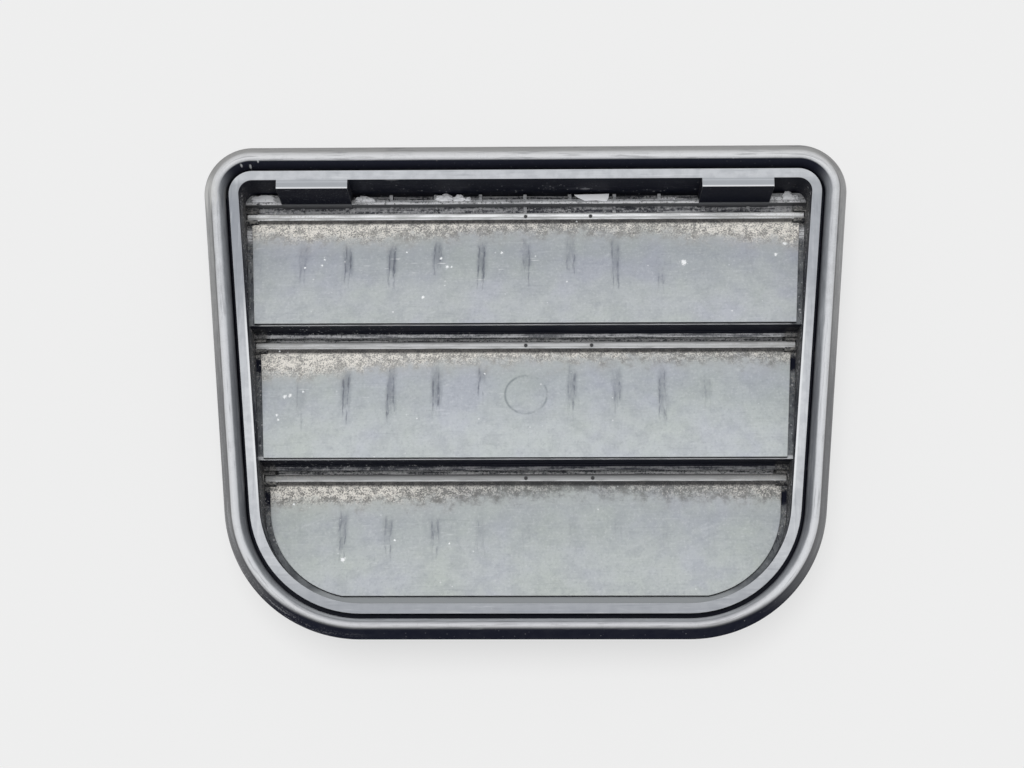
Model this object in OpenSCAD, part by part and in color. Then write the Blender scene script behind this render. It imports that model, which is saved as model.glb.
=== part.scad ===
// Cabin air outlet grille with three gravity flaps and a clip-in neck.
// Drawn lying on its back: x runs across the face, y runs up it and z comes out of it.
// The last step stands it upright, so the face looks along -Y and +Z is up.
// The origin is at mid-width and mid-height, in the plane where the seal meets the panel.

/* [Outline] */
// Width across the rim at its top edge, measured to the sharp corners
rim_w = 177.7; // [168:0.1:200]
// Height of the rim from its top edge to its bottom edge
rim_h = 131.6; // [131:0.1:150]
// Lean of each side wall, in degrees, so that the rim narrows toward the bottom
side_lean = 5.4; // [0:0.1:8]
// Radius of the two upper corners on the rim's outer face
upper_r = 6.8; // [6.5:0.1:12]
// Radius of the two lower corners on the rim's outer face
lower_r = 32.7; // [20:0.1:38]

/* [Rim, flange and neck] */
// Thickness of the rim, which is the light band seen round the flaps
rim_t = 2.85; // [2.4:0.05:3.4]
// Height of the rim's face above the panel
rim_rise = 8.0; // [7:0.1:10]
// Depth of the neck behind the panel
neck_depth = 12.0; // [11.6:0.1:18]
// Wall thickness of the neck
neck_t = 1.8; // [1.2:0.1:2.2]
// Thickness of the flange that carries the seal
flange_t = 1.8; // [1.2:0.1:2.2]
// Reach of the flange beyond the rim
flange_reach = 5.6; // [4.5:0.1:6.2]

/* [Seal] */
// Reach of the seal beyond the rim
seal_reach = 7.3; // [6.9:0.1:9]
// Width of the dark groove between the rim and the seal
groove_w = 1.2; // [0.8:0.1:1.6]
// Height of the seal's crest above the rim's face
crest_rise = 3.0; // [1.5:0.1:4]
// Radius of the crest
crest_r = 1.5; // [1:0.1:1.8]
// Distance of the crest's centre from the rim
crest_out = 3.9; // [3.6:0.1:4.6]
// Thickness of the seal's lip behind the flange
back_lip_t = 1.6; // [1:0.1:2]
// Distance from the rim to the inner edge of the seal's back lip
back_lip_in = 2.4; // [1.5:0.1:3]
// Drop from the rim's face to the foot of the seal's inner flank
seal_flank = 2.0; // [1:0.1:3]
// Height above the panel of the line along which the seal is widest
seal_wide_h = 7.6; // [6:0.1:8.5]
// Draw-in of the seal's outer wall from that line down to the panel
seal_draft = 0.8; // [0.3:0.1:1.4]
// Width of the bevel along the seal's outer edges
seal_edge = 0.7; // [0.4:0.1:1.2]

/* [Flaps] */
// Number of flaps
flap_count = 3; // [3:1:3]
// Distance from one hinge rod to the next
pitch = 40.15; // [38:0.05:40.5]
// Distance from the opening's top edge down to the first hinge rod
first_rod_drop = 7.6; // [7.2:0.05:9]
// Depth of the hinge rods behind the rim's face
hinge_depth = 14.5; // [14:0.1:15]
// Lean of a closed flap, in degrees, with its lower edge nearer the face
flap_lean = 16.6; // [15:0.1:17]
// Thickness of a flap's blade
blade_t = 1.0; // [0.8:0.05:1.2]
// Diameter of a flap's hinge rod
rod_d = 2.5; // [2.2:0.1:2.8]
// Side gap between a flap and the opening's wall
flap_gap = 1.7; // [1:0.1:2]
// Gap between a closed flap and the seat behind it
seat_gap = 0.3; // [0.2:0.05:0.4]
// Height of the lip left in view below a closed flap
lip_show = 0.35; // [0.2:0.05:0.8]

/* [Hinges] */
// Running gap round a hinge rod in its socket
rod_gap = 0.06; // [0.03:0.01:0.1]
// Gap between a rod's end and the wall
rod_end_gap = 0.4; // [0.2:0.1:0.6]
// Outer radius of the rounded lug round a rod's end
lug_r = 2.3; // [2.1:0.1:2.5]
// Gap between a lug and the notch that clears it in the flap
notch_gap = 0.4; // [0.3:0.1:0.8]
// Width of the snap-in mouth of a hinge socket
mouth_w = 2.1; // [1.8:0.1:2.1]

/* [Grid] */
// Width of the seat ledge along the opening's wall
ledge_w = 3.5; // [3:0.1:3.8]
// Distance between upright ribs
rib_pitch = 13.6; // [12:0.1:15]
// Thickness of an upright rib
rib_t = 1.05; // [0.8:0.05:1.4]
// Number of upright ribs on each side of the middle one
ribs_each_side = 5; // [3:1:5]
// Thickness of a crossbar's shelf and seat
bar_t = 1.2; // [0.9:0.1:1.5]
// Height of a crossbar's underside above the hinge rod below it
shelf_rise = 4.05; // [3.8:0.05:4.4]
// Height of the seat at a crossbar's front edge
land_h = 3.5; // [2.5:0.1:5]
// Radius of the hollow in which a hinge rod lies
cove_r = 2.5; // [2.2:0.1:2.7]
// Reach of a hinge rail in front of the rod's axis
rail_front = 0.8; // [0.5:0.1:1.2]
// Height of the top rail above the first hinge rod
top_rail_rise = 5.4; // [5:0.1:6]
// Height of the top rail's front strip
top_strip_h = 1.4; // [1:0.1:1.6]
// Outer diameter of the ring behind the middle flap
ring_d = 13.0; // [11:0.1:15]
// Wall thickness of that ring
ring_t = 1.0; // [0.8:0.1:1.4]
// Distance from the middle hinge rod down to the ring's centre
ring_drop = 16.4; // [14:0.1:20]

/* [Clips] */
// Distance of each snap housing from the middle
clip_x = 63.5; // [55:0.1:66]
// Width of a snap housing
clip_w = 21.3; // [16:0.1:24]
// Height of a snap housing at the rim's face
clip_h = 2.7; // [2.2:0.1:3]
// Growth of a snap housing's height toward the back
clip_draft = 1.5; // [0.2:0.1:1.8]
// Wall thickness of a snap housing
clip_wall = 1.3; // [1:0.1:1.6]
// Thickness of a snap tongue
tongue_t = 1.5; // [1.2:0.1:1.7]
// Gap on each side of a snap tongue
tongue_gap = 1.6; // [1:0.1:3]
// Height of the catches above the neck
catch_rise = 1.9; // [1.2:0.1:2.4]
// Panel thickness that the catches hold, with its play
panel_t = 1.8; // [1:0.1:2.5]
// Distance of each lower catch from the middle
foot_x = 28.0; // [20:0.5:36]
// Width of a lower catch
foot_w = 12.0; // [8:0.5:16]

/* [Hidden] */
$fn = 64;

frame_colour = [0.27, 0.28, 0.31];
seal_colour = [0.33, 0.34, 0.36];
flap_colour = [0.67, 0.69, 0.70];

// Small overlap that lets two moulded features join, and a longer one for cutters
joint = 0.5;
past = 1.0;

flange_front = back_lip_t + flange_t;
hinge_z = rim_rise - hinge_depth;
back_z = -neck_depth;
inner_top = rim_h / 2 - rim_t;
neck_inset = rim_t - neck_t;
rod_r = rod_d / 2;
seat_offset = (blade_t / 2 + seat_gap) / cos(flap_lean);
lip_z = hinge_z + (pitch - shelf_rise) * tan(flap_lean) - seat_offset;
flap_len = (pitch - shelf_rise - lip_show) / cos(flap_lean);
rail_z = hinge_z + rail_front;
rail_back_z = hinge_z - cove_r - bar_t;
rail_low = cove_r / 3;
catch_z = -panel_t;
catch_crest = 1.2;
catch_tail = 1.5;
web_x = clip_x + clip_w / 2;
web_rise = 1.6;
stub_rise = 1.6;

// Smallest corner radius that an inset outline keeps
least_r = 0.3;

// Angles between which the seal's crest is round, and the steps of its curves
crest_from = 165;
crest_to = 35;
crest_steps = 12;
bend_steps = 14;

function rod_y(bay) = inner_top - first_rod_drop - bay * pitch;
function shelf_y(bay) = rod_y(bay) + shelf_rise;

// Depth of a bay's seat plane at the height y
function seat_z(bay, y) = hinge_z + (rod_y(bay) - y) * tan(flap_lean) - seat_offset;

// Half width of the outline at the height y, drawn in by inset
function half_w(y, inset) = rim_w / 2 - (rim_h / 2 - y) * tan(side_lean) - inset / cos(side_lean);

// Corner circle of the outline: its centre and radius, at the upper or the lower right
function corner(upper, inset) =
    let (
        r = max((upper ? upper_r : lower_r) - inset, least_r),
        y = (upper ? 1 : -1) * (rim_h / 2 - inset - r)
    )
    [half_w(y, inset) - r / cos(side_lean), y, r];

// The right half of the outline's straight edges, from the top corner down
function right_side(inset) =
    let (
        a = corner(true, inset),
        b = corner(false, inset),
        out = [cos(side_lean), -sin(side_lean)]
    )
    [
        [a[0], a[1] + a[2]],
        [a[0], a[1]] + a[2] * out,
        [b[0], b[1]] + b[2] * out,
        [b[0], b[1] - b[2]]
    ];

function mirrored(points) = [for (i = [len(points) - 1:-1:0]) [-points[i][0], points[i][1]]];

module outline(inset) {
    polygon(concat(right_side(inset), mirrored(right_side(inset))));
    for (side = [-1, 1])
        for (upper = [true, false])
            translate([side * corner(upper, inset)[0], corner(upper, inset)[1]])
                circle(corner(upper, inset)[2]);
}

module slab(inset, z0, z1) {
    translate([0, 0, z0])
        linear_extrude(z1 - z0)
            outline(inset);
}

// Carries a section drawn in the y-z plane along x, centred on x = 0
module across(length) {
    rotate([90, 0, 90])
        linear_extrude(length, center = true)
            children();
}

module rod(r, length) {
    rotate([0, 90, 0])
        cylinder(r = r, h = length, center = true);
}

module each_rod() {
    for (bay = [0:flap_count - 1])
        translate([0, rod_y(bay), hinge_z])
            children();
}

// Lays the face frame upright in the part's own frame
module upright() {
    rotate([90, 0, 0])
        children();
}

// Rim, flange and neck as one tapered sleeve

module sleeve() {
    difference() {
        union() {
            slab(0, back_lip_t, rim_rise);
            slab(-flange_reach, back_lip_t, flange_front);
            slab(neck_inset, back_z, flange_front);
        }
        slab(rim_t, back_z - past, rim_rise + past);
    }
}

// The saw-tooth section that gives ribs and ledges the slope of the closed flaps
function teeth_front() = [
    for (bay = [0:flap_count - 1])
        each [
            [bay == 0 ? rim_h / 2 : shelf_y(bay), seat_z(bay, bay == 0 ? rim_h / 2 : shelf_y(bay))],
            [shelf_y(bay + 1), lip_z]
        ]
];

module teeth() {
    polygon(concat(
        teeth_front(),
        [[-rim_h / 2, lip_z], [-rim_h / 2, back_z], [rim_h / 2, back_z]]
    ));
}

// Seat ledge along the wall, with the lugs that hold the rods' ends
module ledges() {
    intersection() {
        difference() {
            slab(rim_t - joint, back_z, rim_rise);
            slab(rim_t + ledge_w, back_z - past, rim_rise + past);
        }
        union() {
            across(rim_w)
                teeth();
            each_rod()
                across(rim_w) {
                    circle(lug_r);
                    translate([-lug_r, back_z - hinge_z])
                        square([2 * lug_r, hinge_z - back_z]);
                }
        }
    }
}

// Front seat, shelf and hinge rail between two bays
module crossbar_section(bay) {
    low = shelf_y(bay);
    land = low + land_h;
    polygon([
        [low, rail_back_z],
        [low, lip_z],
        [land, seat_z(bay - 1, land)],
        [land, seat_z(bay - 1, land) - bar_t],
        [low + bar_t, lip_z - bar_t],
        [low + bar_t, rail_back_z]
    ]);
    translate([rod_y(bay) - rail_low, rail_back_z])
        square([low - rod_y(bay) + rail_low + joint, rail_z - rail_back_z]);
}

// Top rail: a thin front strip over a dusty recess, with an open slot above it
module top_rail_section() {
    top = rod_y(0) + top_rail_rise;
    strip_low = top - top_strip_h;
    polygon([
        [rod_y(0) - rail_low, rail_back_z],
        [top, rail_back_z],
        [top, rail_z],
        [strip_low, rail_z],
        [strip_low, hinge_z - cove_r],
        [rod_y(0) - rail_low, hinge_z - cove_r]
    ]);
}

module rails() {
    across(rim_w)
        top_rail_section();
    for (bay = [1:flap_count - 1])
        across(rim_w)
            crossbar_section(bay);
}

// Small webs that close the slot's two ends
module corner_webs() {
    web_w = rim_w / 2 - web_x;
    for (side = [-1, 1])
        translate([side * (web_x + web_w / 2), 0, 0])
            across(web_w)
                translate([rod_y(0) + top_rail_rise - joint, rail_back_z])
                    square([web_rise + joint, rail_z - rail_back_z]);
}

module ribs() {
    for (i = [-ribs_each_side:ribs_each_side])
        translate([i * rib_pitch, 0, 0])
            across(rib_t) {
                teeth();
                translate([rod_y(0) + top_rail_rise - joint, back_z])
                    square([stub_rise + joint, rail_z - back_z]);
            }
}

module ring_place() {
    translate([0, rod_y(1) - ring_drop, back_z])
        children();
}

module ring() {
    intersection() {
        ring_place()
            difference() {
                cylinder(d = ring_d, h = rim_rise - back_z);
                translate([0, 0, -past])
                    cylinder(d = ring_d - 2 * ring_t, h = rim_rise - back_z + 2 * past);
            }
        across(ring_d + past)
            teeth();
    }
}

// Rails, webs and ribs, trimmed to the opening and hollowed for the rods
module grid() {
    difference() {
        intersection() {
            slab(rim_t - joint, back_z, rim_rise);
            union() {
                rails();
                corner_webs();
                difference() {
                    ribs();
                    ring_place()
                        translate([0, 0, -past])
                            cylinder(d = ring_d - ring_t, h = rim_rise - back_z + past);
                }
            }
        }
        each_rod()
            rod(cove_r, rim_w);
    }
    ring();
}

// Housing of a snap tongue, flush with the rim's face
module snap_housing() {
    across(clip_w)
        polygon([
            [rim_h / 2 - neck_inset, rim_rise],
            [inner_top - clip_h, rim_rise],
            [inner_top - clip_h - clip_draft, back_z],
            [rim_h / 2 - neck_inset, back_z]
        ]);
}

module snap_pocket() {
    low = inner_top - clip_h + clip_wall;
    across(clip_w - 2 * clip_wall)
        translate([low, back_z + catch_tail])
            square([rim_h / 2 - low + past, back_lip_t - back_z - catch_tail]);
}

// A tongue rooted at the neck's back edge, with its catch behind the panel
module snap_tongue() {
    top = rim_h / 2 - neck_inset;
    across(clip_w - 2 * clip_wall - 2 * tongue_gap)
        polygon([
            [top, back_z],
            [top, back_z + catch_tail],
            [top + catch_rise, catch_z - catch_crest],
            [top + catch_rise, catch_z],
            [top + catch_rise - tongue_t, catch_z],
            [top - tongue_t, back_z + catch_tail],
            [top - tongue_t, back_z]
        ]);
}

// Fixed catch under the neck's lower wall
module foot_catch() {
    low = -rim_h / 2 + neck_inset;
    across(foot_w)
        polygon([
            [low + neck_t, catch_z],
            [low - catch_rise, catch_z],
            [low - catch_rise, catch_z - catch_crest],
            [low, back_z + catch_tail],
            [low + neck_t, back_z + catch_tail]
        ]);
}

// Sockets that the rods snap into from the front
module sockets() {
    for (bay = [0:flap_count - 1])
        translate([0, rod_y(bay), hinge_z]) {
            reach = 2 * (half_w(rod_y(bay), rim_t) - rod_end_gap / 2);
            rod(rod_r + rod_gap, reach);
            across(reach)
                translate([-mouth_w / 2, 0])
                    square([mouth_w, lug_r + past]);
        }
}

module frame() {
    color(frame_colour)
        upright() {
            difference() {
                union() {
                    sleeve();
                    ledges();
                    grid();
                    for (side = [-1, 1])
                        translate([side * clip_x, 0, 0])
                            snap_housing();
                }
                sockets();
                for (side = [-1, 1])
                    translate([side * clip_x, 0, 0])
                        snap_pocket();
            }
            for (side = [-1, 1]) {
                translate([side * clip_x, 0, 0])
                    snap_tongue();
                translate([side * foot_x, 0, 0])
                    foot_catch();
            }
        }
}

// Section of the seal, clockwise: distance out from the rim, then height above the panel
function crest_arc() =
    let (centre = [crest_out, rim_rise + crest_rise - crest_r])
    [
        for (i = [0:crest_steps])
            let (a = crest_from + (crest_to - crest_from) * i / crest_steps)
            centre + crest_r * [cos(a), sin(a)]
    ];

function seal_section() =
    let (foot = seal_reach - seal_draft)
    concat(
        [
            [flange_reach, flange_front],
            [groove_w, flange_front],
            [groove_w, rim_rise - seal_flank]
        ],
        crest_arc(),
        [
            [seal_reach - seal_edge / 2, seal_wide_h + seal_edge],
            [seal_reach, seal_wide_h],
            [foot, seal_edge],
            [foot - seal_edge / 2, 0],
            [back_lip_in, 0],
            [back_lip_in, back_lip_t],
            [flange_reach, back_lip_t]
        ]
    );

// Places where the seal's section stands: round each corner in turn, counter-clockwise
function seal_stations() =
    let (
        a = corner(true, 0),
        b = corner(false, 0),
        bends = [
            [b[0], b[1], b[2], -90, 90 - side_lean],
            [a[0], a[1], a[2], -side_lean, 90 + side_lean],
            [-a[0], a[1], a[2], 90, 90 + side_lean],
            [-b[0], b[1], b[2], 180 + side_lean, 90 - side_lean]
        ]
    )
    [
        for (bend = bends)
            for (i = [0:bend_steps])
                [bend[0], bend[1], bend[2], bend[3] + bend[4] * i / bend_steps]
    ];

// The seal: its section swept round the rim, with the flange's edge in its slot
module perimeter_seal() {
    section = seal_section();
    stations = seal_stations();
    n = len(section);
    m = len(stations);
    color(seal_colour)
        upright()
            polyhedron(
                points = [
                    for (s = stations)
                        for (p = section)
                            [s[0] + (s[2] + p[0]) * cos(s[3]), s[1] + (s[2] + p[0]) * sin(s[3]), p[1]]
                ],
                faces = [
                    for (i = [0:m - 1])
                        for (j = [0:n - 1])
                            let (
                                next = (i + 1) % m,
                                k = (j + 1) % n
                            )
                            [i * n + j, next * n + j, next * n + k, i * n + k]
                ]
            );
}

// A flap: blade and hinge rod in one piece, trimmed to the opening's own outline
module flap(bay) {
    wide = half_w(rod_y(bay), rim_t);
    color(flap_colour)
        upright() {
            difference() {
                intersection() {
                    slab(rim_t + flap_gap, back_z, rim_rise);
                    translate([0, rod_y(bay), hinge_z])
                        rotate([-flap_lean, 0, 0])
                            translate([-rim_w / 2, -flap_len, -blade_t / 2])
                                cube([rim_w, flap_len, blade_t]);
                }
                for (side = [-1, 1])
                    translate([side * wide, rod_y(bay), hinge_z])
                        rod(lug_r + notch_gap, 2 * (ledge_w / cos(side_lean) + joint));
            }
            translate([0, rod_y(bay), hinge_z])
                rod(rod_r, 2 * (wide - rod_end_gap));
        }
}

module upper_flap() {
    flap(0);
}

module middle_flap() {
    flap(1);
}

module lower_flap() {
    flap(2);
}

frame();
perimeter_seal();
upper_flap();
middle_flap();
lower_flap();
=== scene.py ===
import math
from types import SimpleNamespace

import bmesh
import bpy
from mathutils import Matrix, Vector, noise


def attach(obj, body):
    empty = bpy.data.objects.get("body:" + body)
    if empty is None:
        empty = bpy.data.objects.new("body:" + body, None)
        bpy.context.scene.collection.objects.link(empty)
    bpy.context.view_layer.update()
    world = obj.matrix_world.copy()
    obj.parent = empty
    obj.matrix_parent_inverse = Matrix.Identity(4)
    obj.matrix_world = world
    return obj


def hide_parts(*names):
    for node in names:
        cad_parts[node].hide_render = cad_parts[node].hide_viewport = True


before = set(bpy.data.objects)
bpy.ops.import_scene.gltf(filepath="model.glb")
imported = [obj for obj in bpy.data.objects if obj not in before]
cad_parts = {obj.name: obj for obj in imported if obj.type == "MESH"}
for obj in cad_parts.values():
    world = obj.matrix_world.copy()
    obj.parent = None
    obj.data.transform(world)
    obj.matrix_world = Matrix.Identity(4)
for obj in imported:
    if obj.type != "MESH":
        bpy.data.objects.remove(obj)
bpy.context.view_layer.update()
print("frame loaded:", ", ".join(sorted(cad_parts)))

millimetre = 0.001
perMetre = 1000.0  # millimetres in a metre

# sizes of the moulding in millimetres, as the CAD has them, with y back from the panel and z up
vent = {
    "topWidth": 177.7,
    "height": 131.6,
    "sideLean": 5.4,
    "upperRadius": 6.8,
    "lowerRadius": 32.7,
    "rimWidth": 2.85,
    "rodDepth": 6.5,
    "rodHeights": [55.35, 15.2, -24.95],
    "baySpacing": 40.15,
    "housingSpan": (52.85, 74.15),  # the two snap housings, out from the middle
    "housingHeights": (55, 62.9),
}
sideLean = math.radians(vent["sideLean"])


class Wire:
    # the output of a node, which takes part in sums
    def __init__(self, finish, socket):
        self.finish = finish
        self.socket = socket

    def __add__(self, other):
        return self.finish.sum("ADD", self, other)

    __radd__ = __add__

    def __sub__(self, other):
        return self.finish.sum("SUBTRACT", self, other)

    def __rsub__(self, other):
        return self.finish.sum("SUBTRACT", other, self)

    def __mul__(self, other):
        return self.finish.sum("MULTIPLY", self, other)

    __rmul__ = __mul__

    def __abs__(self):
        return self.finish.sum("ABSOLUTE", self)

    def __gt__(self, other):
        return self.finish.sum("GREATER_THAN", self, other)

    def __lt__(self, other):
        return self.finish.sum("LESS_THAN", self, other)


class Finish:
    # the nodes of one material, or of the world
    def __init__(self, owner):
        self.owner = owner
        owner.use_nodes = True
        self.tree = owner.node_tree
        self.tree.nodes.clear()

    def node(self, kind, settings=None, values=None, output=0):
        # settings go in before values and links, and a tuple of outputs gives a list of wires
        made = self.tree.nodes.new(kind)
        for name, value in (settings or {}).items():
            if name == "stops":
                stops = made.color_ramp.elements
                while len(stops) < len(value):
                    stops.new(1)
                for stop, (place, colour) in zip(stops, value):
                    stop.position = place
                    stop.color = colour
            else:
                setattr(made, name, value)
        for name, value in (values or {}).items():
            if isinstance(value, Wire):
                self.tree.links.new(value.socket, made.inputs[name])
            else:
                made.inputs[name].default_value = value
        if isinstance(output, tuple):
            return [Wire(self, made.outputs[name]) for name in output]
        return Wire(self, made.outputs[output]) if made.outputs else None

    def sum(self, operation, first, second=0):
        return self.node("ShaderNodeMath", {"operation": operation}, {0: first, 1: second})

    def larger(self, first, *others):
        for other in others:
            first = self.sum("MAXIMUM", first, other)
        return first

    def nearest(self, value, period):
        # distance to the nearest multiple of the period
        return self.sum("PINGPONG", value, period / 2)

    def rise(self, value, low, high):
        # 0 below low and 1 above high, or the other way round when low is the larger
        return self.node(
            "ShaderNodeMapRange", {"interpolation_type": "SMOOTHSTEP"},
            {"Value": value, "From Min": low, "From Max": high})

    def within(self, value, low, high, soft):
        return self.rise(value, low - soft, low + soft) * self.rise(value, high + soft, high - soft)

    def mix(self, amount, first, second, blend="MIX"):
        def colour(c):
            return c if isinstance(c, Wire) else (*c, 1)
        return self.node(
            "ShaderNodeMix", {"data_type": "RGBA", "blend_type": blend},
            {0: amount, 6: colour(first), 7: colour(second)}, 2)

    def coats(self, colour, *layers):
        # lays tones over a colour one after another, each by its own amount
        for amount, tone in layers:
            colour = self.mix(amount, colour, tone)
        return colour

    def ramp(self, value, low, high, stops):
        # colours at given values, with the values put on the scale of the node
        shares = [((place - low) / (high - low), (*colour, 1)) for place, colour in stops]
        scaled = self.node(
            "ShaderNodeMapRange", None, {"Value": value, "From Min": low, "From Max": high})
        return self.node("ShaderNodeValToRGB", {"stops": shares}, {"Fac": scaled})

    def along(self, value, low, high, knots):
        # three numbers that follow a value, from knots that are evenly spaced
        step = (high - low) / (len(knots) - 1)
        stops = [(low + i * step, knot) for i, knot in enumerate(knots)]
        return self.parts(self.ramp(value, low, high, stops))

    def place(self, stretch=(1, 1, 1), shift=(0, 0, 0)):
        # the point on the object in millimetres
        where = self.node("ShaderNodeTexCoord", output="Object")
        return self.node(
            "ShaderNodeVectorMath", {"operation": "MULTIPLY_ADD"},
            {0: where, 1: [perMetre * s for s in stretch], 2: shift})

    def parts(self, vector):
        return self.node("ShaderNodeSeparateXYZ", None, {0: vector}, (0, 1, 2))

    def facing(self):
        return self.parts(self.node("ShaderNodeTexCoord", output="Normal"))

    def cloud(self, vector, scale, detail=3, roughness=0.55):
        # noise around 0.5, with its scale in blobs per millimetre
        return self.node(
            "ShaderNodeTexNoise", None,
            {"Vector": vector, "Scale": scale, "Detail": detail, "Roughness": roughness})

    def length(self, a, b):
        joined = self.node("ShaderNodeCombineXYZ", None, {"X": a, "Y": b})
        return self.node("ShaderNodeVectorMath", {"operation": "LENGTH"}, {0: joined}, "Value")

    def specks(self, vector, scale, size, share, rough=0):
        # uneven flecks, at most one in each cell, in only a share of the cells
        near, cell = self.node(
            "ShaderNodeTexVoronoi", None, {"Vector": vector, "Scale": scale}, ("Distance", "Color"))
        first, second, third = self.parts(cell)
        limit = size * (0.35 + 0.65 * second)
        fleck = self.rise(near + rough, limit, limit * 0.5)
        return fleck * (first < share) * (0.4 + 0.6 * third)

    def rays(self):
        # 1 where the surface is seen, also in gloss or through glass, and 1 for shadow rays
        camera, glossy, through, shadow = self.node("ShaderNodeLightPath", output=(
            "Is Camera Ray", "Is Glossy Ray", "Is Transmission Ray", "Is Shadow Ray"))
        return self.larger(camera, glossy, through), shadow

    def close(self, colour, roughness, specular, bump, strength, depth, normal=None):
        # joins everything to the shader, with the specular level on its own socket
        relief = {"Height": bump, "Strength": strength, "Distance": depth}
        if normal is not None:
            relief["Normal"] = normal
        shader = self.node("ShaderNodeBsdfPrincipled", None, {
            "Base Color": colour, "Roughness": roughness, "Specular IOR Level": specular,
            "Normal": self.node("ShaderNodeBump", None, relief)})
        self.node("ShaderNodeOutputMaterial", None, {"Surface": shader})
        return self.owner


def newFinish(name):
    return Finish(bpy.data.materials.new(name))


# outline of the moulding

def halfWidth(height, inset):
    below = vent["height"] / 2 - height
    return vent["topWidth"] / 2 - below * math.tan(sideLean) - inset / math.cos(sideLean)


def cornerCircle(upper, inset):
    radius = vent["upperRadius" if upper else "lowerRadius"] - inset
    height = (1 if upper else -1) * (vent["height"] / 2 - inset - radius)
    return halfWidth(height, inset) - radius / math.cos(sideLean), height, radius


def rimStations(bendSteps, runStep):
    # places round the rim's outer edge, each a point and its outward direction
    right = math.pi / 2
    low, high = cornerCircle(False, 0), cornerCircle(True, 0)
    bends = [
        (low[0], low[1], low[2], -right, right - sideLean),
        (high[0], high[1], high[2], -sideLean, right + sideLean),
        (-high[0], high[1], high[2], right, right + sideLean),
        (-low[0], low[1], low[2], math.pi + sideLean, right - sideLean),
    ]
    stations = []
    for x, z, radius, start, turn in bends:
        for i in range(bendSteps + 1):
            angle = start + turn * i / bendSteps
            out = Vector((math.cos(angle), math.sin(angle)))
            stations.append((Vector((x, z)) + radius * out, out))
    filled = []
    for (point, out), (after, outAfter) in zip(stations, stations[1:] + stations[:1]):
        filled.append((point, out))
        gap = (after - point).length
        if gap > 2 * runStep:
            count = round(gap / runStep)
            filled += [(point.lerp(after, k / count), out.lerp(outAfter, k / count).normalized())
                       for k in range(1, count)]
    return filled


def rounded(corners, steps=4):
    # a closed section whose corners are rounded by the radius given with each
    section = []
    count = len(corners)
    for i, (x, y, radius) in enumerate(corners):
        here = Vector((x, y))
        before = Vector(corners[i - 1][:2]) - here
        after = Vector(corners[(i + 1) % count][:2]) - here
        half = before.angle(after) / 2
        if radius <= 0 or half > math.radians(88):
            section.append(here)
            continue
        reach = min(radius / math.tan(half), before.length * 0.48, after.length * 0.48)
        radius = reach * math.tan(half)
        before, after = before.normalized(), after.normalized()
        centre = here + (before + after).normalized() * (radius / math.sin(half))
        first, last = here + before * reach, here + after * reach
        for k in range(steps + 1):
            ray = (first - centre).lerp(last - centre, k / steps)
            section.append(centre + ray.normalized() * radius)
    return section


def newPiece(name, mesh, materials, body, stands=()):
    piece = bpy.data.objects.new(name, mesh)
    bpy.context.scene.collection.objects.link(piece)
    for material in materials:
        mesh.materials.append(material)
    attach(piece, body)
    if stands:
        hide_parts(*stands)


# perimeter seal: a soft lip with a rounded crest, swept round the rim

seal = {
    # corners of the section: distance out from the rim, height above the panel, rounding
    "innerSide": [(1.2, 3.4, 0), (1.2, 6, 0.3)],
    "crestCentre": (3.9, 9.499),
    "crestRadius": 1.5,
    "crestFrom": 165,
    "crestTo": 35,
    "crestSteps": 14,
    "outerSide": [(6.95, 8.3, 0.5), (7.3, 7.6, 0.5), (6.5, 0.7, 0.4), (6.15, 0, 0.3)],
    "grip": [(2.4, 0, 0.3), (2.4, 1.6, 0), (5.6, 1.6, 0), (5.6, 3.4, 0)],
    "bendSteps": 40,
    "runStep": 2.5,
    "waver": 0.05,  # how far the soft lip strays from a true line, above and inside these bounds
    "waverScale": 0.05,
    "waverAbove": 6.5,
    "waverRise": 3,
    "waverInside": 6.4,
    "sharpFrom": 50,
}


def sealSection():
    centreOut, centreUp = seal["crestCentre"]
    radius, steps = seal["crestRadius"], seal["crestSteps"]
    crest = []
    for k in range(steps + 1):
        angle = math.radians(seal["crestFrom"] + (seal["crestTo"] - seal["crestFrom"]) * k / steps)
        crest.append((centreOut + radius * math.cos(angle), centreUp + radius * math.sin(angle), 0))
    return rounded(seal["innerSide"] + crest + seal["outerSide"] + seal["grip"])


def buildSeal(material):
    section = sealSection()
    stations = rimStations(seal["bendSteps"], seal["runStep"])
    runs = [0.0]
    for (point, _), (after, _) in zip(stations, stations[1:] + stations[:1]):
        runs.append(runs[-1] + (after - point).length)
    hoop = runs[-1] / (2 * math.pi)
    points, faces, sweep = [], [], []
    scale = seal["waverScale"]
    for (point, out), run in zip(stations, runs):
        for across, height in section:
            stray = noise.noise(Vector((point.x * scale, point.y * scale, height * 2 * scale)))
            free = max(0, min(1, (height - seal["waverAbove"]) / seal["waverRise"]))
            free *= across < seal["waverInside"]
            where = point + out * (across + seal["waver"] * stray * free)
            points.append((where.x * millimetre, -height * millimetre, where.y * millimetre))
            sweep += [hoop * math.cos(run / hoop), hoop * math.sin(run / hoop), across]
    around, count = len(section), len(stations)
    for i in range(count):
        here, after = i * around, (i + 1) % count * around
        for j in range(around):
            k = (j + 1) % around
            faces.append((here + j, here + k, after + k, after + j))
    mesh = bpy.data.meshes.new("sealLip")
    mesh.from_pydata(points, [], faces)
    # place along the seal, laid round a hoop so that it closes, and distance out from the rim
    mesh.attributes.new("sweep", "FLOAT_VECTOR", "POINT").data.foreach_set("vector", sweep)
    mesh.shade_smooth()
    mesh.set_sharp_from_angle(angle=math.radians(seal["sharpFrom"]))
    mesh.update()
    newPiece("sealLip", mesh, [material], "housing", ["perimeter_seal"])


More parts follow.
